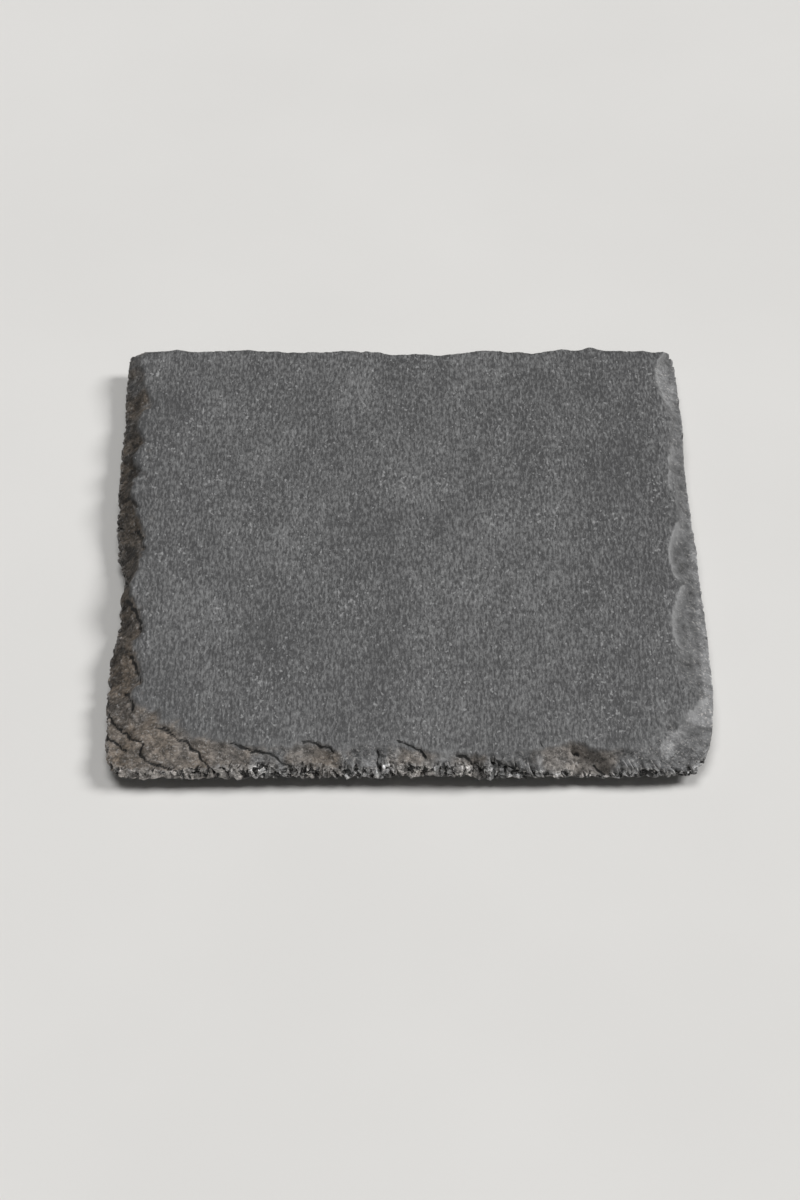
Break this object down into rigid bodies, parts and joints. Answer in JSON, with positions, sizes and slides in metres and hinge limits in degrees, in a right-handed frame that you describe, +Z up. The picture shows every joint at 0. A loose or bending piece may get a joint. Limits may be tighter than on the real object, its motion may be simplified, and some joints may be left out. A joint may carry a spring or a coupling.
{
  "type": "slate coaster",
  "caption": "Square drinks coaster: a slab of riven slate with chipped, terraced edges, standing on round rubber foot pads held by adhesive discs.",
  "frame": {"origin": "on the table surface, under the middle of the slab", "axes": "+Z up, the slab's thin direction; -Y towards the front edge; +X to the right"},
  "size_m": [0.1, 0.1, 0.007],
  "materials": {
    "slate": "riven matt",
    "foot_rubber": "matt moulded rubber",
    "adhesive": "satin acrylic adhesive film"
  },
  "bodies": {
    "root": {"slate_slab": "slate", "foot_pad_front_left": "foot_rubber", "foot_pad_front_right": "foot_rubber", "foot_pad_back_left": "foot_rubber", "foot_pad_back_right": "foot_rubber", "adhesive_disc_front_left": "adhesive", "adhesive_disc_front_right": "adhesive", "adhesive_disc_back_left": "adhesive", "adhesive_disc_back_right": "adhesive"}
  },
  "joints": []
}
